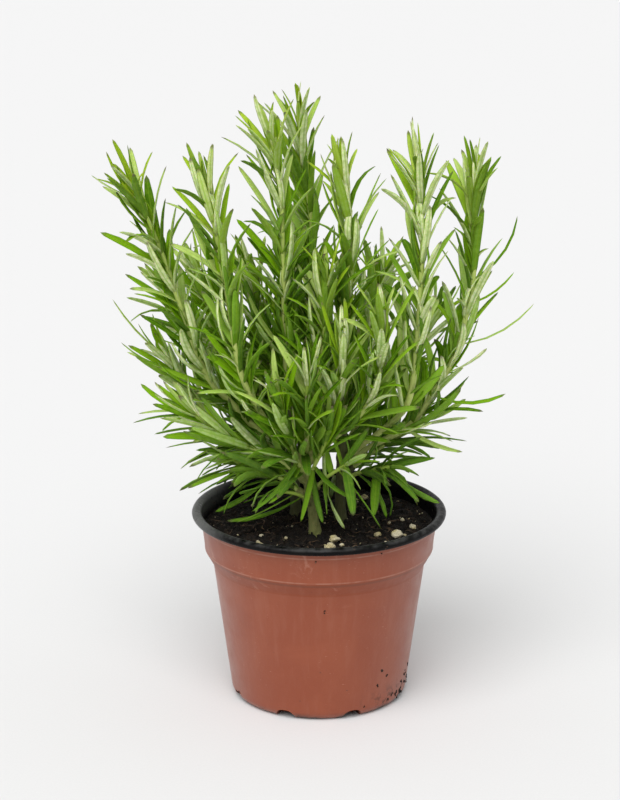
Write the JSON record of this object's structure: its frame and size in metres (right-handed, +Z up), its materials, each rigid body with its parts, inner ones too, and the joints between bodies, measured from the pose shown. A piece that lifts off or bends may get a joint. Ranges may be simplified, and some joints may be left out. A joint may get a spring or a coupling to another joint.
{
  "type": "potted rosemary",
  "caption": "Young rosemary bush of needle-leaved shoots on woody crowns, growing in dark soil in a thin tapered terracotta-coloured nursery pot with a curled black lip",
  "frame": {"origin": "centre of the pot's base, on the surface that it stands on", "axes": "+Z up through the pot, -Y towards the front that the picture shows, +X to the picture's right"},
  "size_m": [0.22, 0.1459, 0.3149],
  "materials": {
    "pot_plastic": "satin",
    "soil": "matte",
    "crumb": "matte",
    "bark": "matte",
    "leaf": "satin"
  },
  "bodies": {
    "root": {"pot": "pot_plastic", "soil": "soil", "perlite_01": "crumb", "perlite_02": "crumb", "perlite_03": "crumb", "perlite_04": "crumb", "perlite_05": "crumb", "perlite_06": "crumb", "perlite_07": "crumb", "perlite_08": "crumb", "crown_front": "bark", "crown_right": "bark", "crown_back": "bark", "shoot_front_short": "leaf", "shoot_left_inner": "leaf", "shoot_front_right": "leaf", "shoot_middle_left": "leaf", "shoot_middle_tall": "leaf", "shoot_middle_right": "leaf", "shoot_right_inner": "leaf", "shoot_right_outer": "leaf", "shoot_left_outer": "leaf", "shoot_front_middle": "leaf", "shoot_front_left": "leaf", "shoot_left_low": "leaf", "shoot_left_lowest": "leaf", "shoot_front_left_low": "leaf", "shoot_front_low": "leaf", "shoot_front_right_low": "leaf", "shoot_right_low": "leaf", "shoot_left_behind": "leaf", "shoot_left_middle": "leaf", "shoot_left_back": "leaf", "shoot_behind_left": "leaf", "shoot_back_tall": "leaf", "shoot_right_low_back": "leaf", "shoot_right_back": "leaf", "shoot_behind_right": "leaf", "shoot_back_right": "leaf", "shoot_back_left": "leaf", "shoot_back_middle": "leaf", "shoot_left_low_back": "leaf", "shoot_middle_low": "leaf"}
  },
  "joints": []
}
